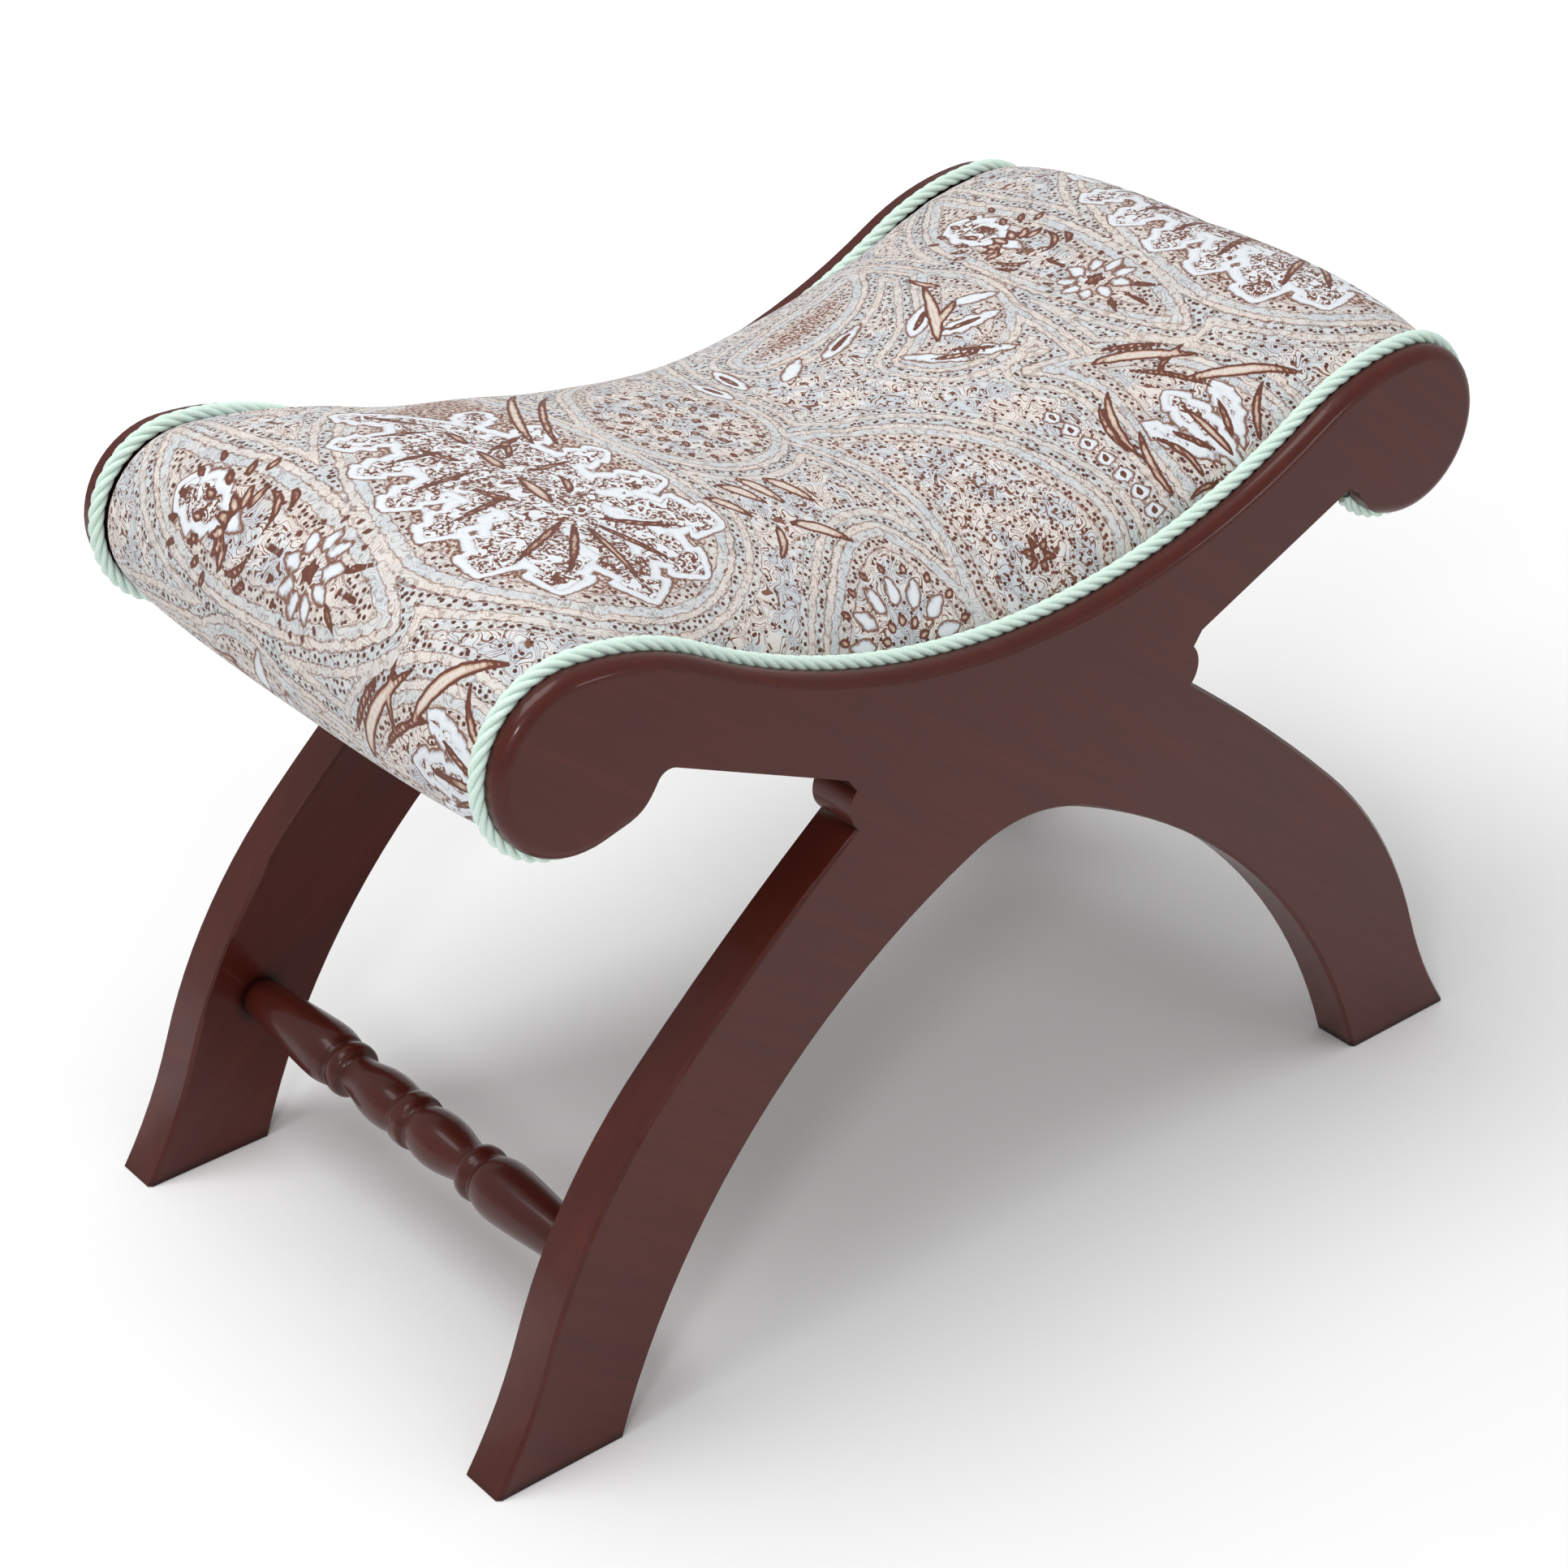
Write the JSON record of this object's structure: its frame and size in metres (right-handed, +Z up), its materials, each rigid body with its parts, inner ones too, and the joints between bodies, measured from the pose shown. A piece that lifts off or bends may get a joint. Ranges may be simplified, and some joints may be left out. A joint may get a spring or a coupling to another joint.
{
  "type": "upholstered footstool",
  "caption": "Low curule footstool: dark X-shaped wooden side frames with scrolled arms carry a padded saddle seat in paisley cloth edged with twisted cord; turned stretchers join the feet.",
  "frame": {"origin": "middle of the footprint on the floor", "axes": "+X along the stool towards its right scroll, +Y from the near frame to the far one, +Z up"},
  "size_m": [0.57, 0.3, 0.3811],
  "materials": {
    "frame_wood": "dark mahogany stain under gloss polish",
    "turned_wood": "dark mahogany stain under gloss polish",
    "plain_wood": "bare sawn softwood",
    "screw_steel": "zinc plated",
    "dust_cloth": "black spunbonded cloth",
    "padding": "upholstery foam",
    "paisley_cloth": "printed cotton, pale blue and rust paisley",
    "trim_cord": "twisted pale green cord"
  },
  "bodies": {
    "root": {"front_leg_left_arm_right": "frame_wood", "front_leg_right_arm_left": "frame_wood", "back_leg_left_arm_right": "frame_wood", "back_leg_right_arm_left": "frame_wood", "stretcher_left": "turned_wood", "stretcher_right": "turned_wood", "roll_rail_left": "plain_wood", "roll_rail_right": "plain_wood", "bearer_front": "plain_wood", "bearer_back": "plain_wood", "seat_slat_1": "plain_wood", "seat_slat_2": "plain_wood", "seat_slat_3": "plain_wood", "seat_slat_4": "plain_wood", "seat_slat_5": "plain_wood", "seat_slat_6": "plain_wood", "seat_slat_7": "plain_wood", "seat_slat_8": "plain_wood", "seat_slat_9": "plain_wood", "lap_dowels": "plain_wood", "bearer_screws": "screw_steel", "slat_screws": "screw_steel", "dust_cloth": "dust_cloth", "dust_cloth_tacks": "screw_steel", "seat_pad": "padding", "seat_cover": "paisley_cloth", "trim_cord_front": "trim_cord", "trim_cord_back": "trim_cord"}
  },
  "joints": []
}
